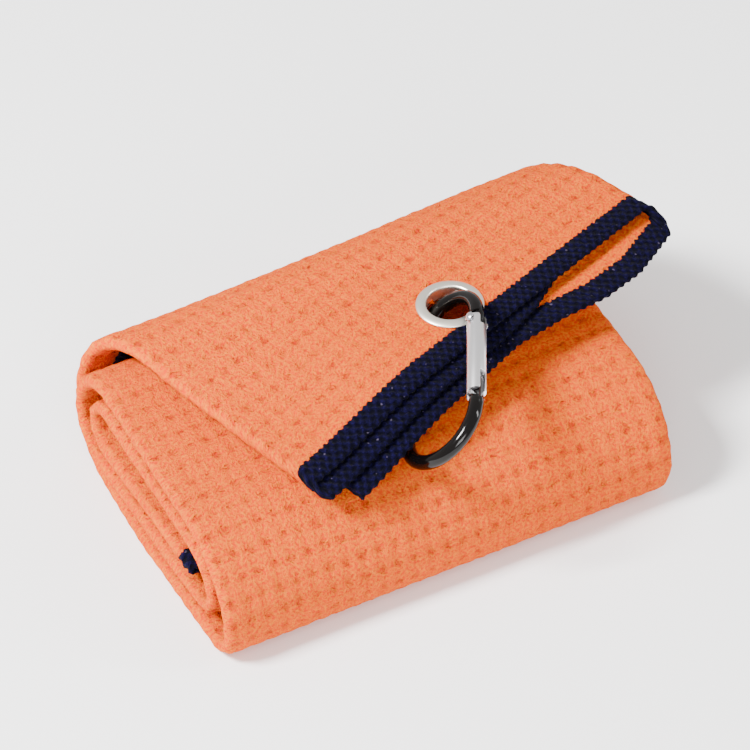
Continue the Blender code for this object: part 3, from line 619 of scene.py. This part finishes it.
def dressed(node, name, body, material, edge):
    """The piece's own solid with its sharp edges broken and its round faces smooth."""
    form = bmesh.new()
    form.from_mesh(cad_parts[node].data)
    bmesh.ops.remove_doubles(form, verts=form.verts, dist=0.000002)
    bmesh.ops.dissolve_limit(form, angle_limit=math.radians(1.0), verts=form.verts, edges=form.edges)
    mesh = bpy.data.meshes.new(name)
    form.to_mesh(mesh)
    form.free()
    item = bpy.data.objects.new(name, mesh)
    bpy.context.scene.collection.objects.link(item)
    if edge:
        bevel = item.modifiers.new("edge", "BEVEL")
        bevel.width = edge
        bevel.segments = 2
        bevel.limit_method = "ANGLE"
        bevel.angle_limit = math.radians(45.0)
        bevel.use_clamp_overlap = True
        bpy.context.view_layer.update()
        item.data = bpy.data.meshes.new_from_object(item.evaluated_get(bpy.context.evaluated_depsgraph_get()))
        item.modifiers.clear()
    item.data.shade_smooth()
    item.data.set_sharp_from_angle(angle=math.radians(32.0))
    item.data.materials.clear()
    item.data.materials.append(material)
    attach(item, body)
    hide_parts(node)
    return item


def gloss_black():
    material, shader = finished("gloss_black_finish", (0.0010, 0.0008, 0.0010), (0.0032, 0.0022, 0.0018), 0.06, 0.3)
    shader.inputs["Specular IOR Level"].default_value = 0.22
    shader.inputs["Coat Weight"].default_value = 0.05
    shader.inputs["Coat Roughness"].default_value = 0.04
    return material


steel = plated("pin_steel_finish", (0.62, 0.62, 0.64), (0.50, 0.50, 0.53), 0.22)
dressed("carabiner_body", "hook_loop", "carabiner", gloss_black(), 0.00012)
dressed("gate_pivot_pin", "pivot_rivet", "carabiner", steel, 0.00008)
dressed("gate_latch_pin", "latch_pin", "carabiner", steel, 0.00008)

# -------------------------------------------------------------------------- gate
# A turned and slotted aluminium gate, bright plated. A spring and a plunger in its bore
# press on the tongue and hold it shut.
dressed("carabiner_gate", "bright_gate", "gate", plated("bright_plate", (0.96, 0.94, 0.95), (0.88, 0.86, 0.88), 0.27), 0.00015)
dressed("gate_spring", "gate_coil_spring", "gate", steel, 0.0)
dressed("gate_plunger", "spring_plunger", "plunger", steel, 0.00008)

# ------------------------------------------------------------------------ studio
# Plain pale floor, a soft key light at the upper left, a fill in front and a strip that draws the highlights on the
# hook.
form = bmesh.new()
bmesh.ops.create_grid(form, x_segments=1, y_segments=1, size=4.0)
floor_mesh = bpy.data.meshes.new("floor")
form.to_mesh(floor_mesh)
form.free()
floor = bpy.data.objects.new("floor", floor_mesh)
bpy.context.scene.collection.objects.link(floor)
floor_material, floor_tree, floor_shader = new_material("pale_floor")
floor_shader.inputs["Base Color"].default_value = (0.95, 0.95, 0.95, 1.0)
floor_shader.inputs["Roughness"].default_value = 0.9
floor.data.materials.append(floor_material)

world = bpy.data.worlds.new("studio")
bpy.context.scene.world = world
world.use_nodes = True
world.node_tree.nodes["Background"].inputs["Color"].default_value = (1.0, 0.99, 0.98, 1.0)
world.node_tree.nodes["Background"].inputs["Strength"].default_value = 0.88


def soft_light(name, place, aim, size, power, colour=(1.0, 1.0, 1.0)):
    lamp = bpy.data.lights.new(name, "AREA")
    lamp.shape = "RECTANGLE"
    lamp.size, lamp.size_y = size
    lamp.energy = power
    lamp.color = colour
    item = bpy.data.objects.new(name, lamp)
    item.location = place
    item.rotation_euler = (Vector(aim) - Vector(place)).to_track_quat("-Z", "Y").to_euler()
    bpy.context.scene.collection.objects.link(item)


soft_light("key_upper_left", (-0.75, 0.10, 0.95), (0.0, 0.0, 0.03), (0.30, 0.30), 46.0)
soft_light("front_fill", (-0.4, -1.2, 0.6), (0.0, 0.0, 0.03), (0.7, 0.5), 15.0)
soft_light("right_strip", (0.8, -0.5, 0.6), (0.0, 0.0, 0.04), (0.10, 0.7), 5.0)

AZIMUTH = math.radians(-28.49)
ELEVATION = math.radians(43.09)
DISTANCE = 1.1836
aim = Vector((0.0, 0.0, 0.020))
toward = Vector((
    math.sin(AZIMUTH) * math.cos(ELEVATION), -math.cos(AZIMUTH) * math.cos(ELEVATION), math.sin(ELEVATION),
))
camera_data = bpy.data.cameras.new("camera")
camera_data.sensor_width = 36.0
camera_data.lens = 202.5
camera_data.shift_x = 0.0117
camera_data.shift_y = 0.0559
camera_data.clip_start = 0.01
camera = bpy.data.objects.new("camera", camera_data)
camera.location = aim + DISTANCE * toward
camera.rotation_euler = (-toward).to_track_quat("-Z", "Y").to_euler()
bpy.context.scene.collection.objects.link(camera)
bpy.context.scene.camera = camera
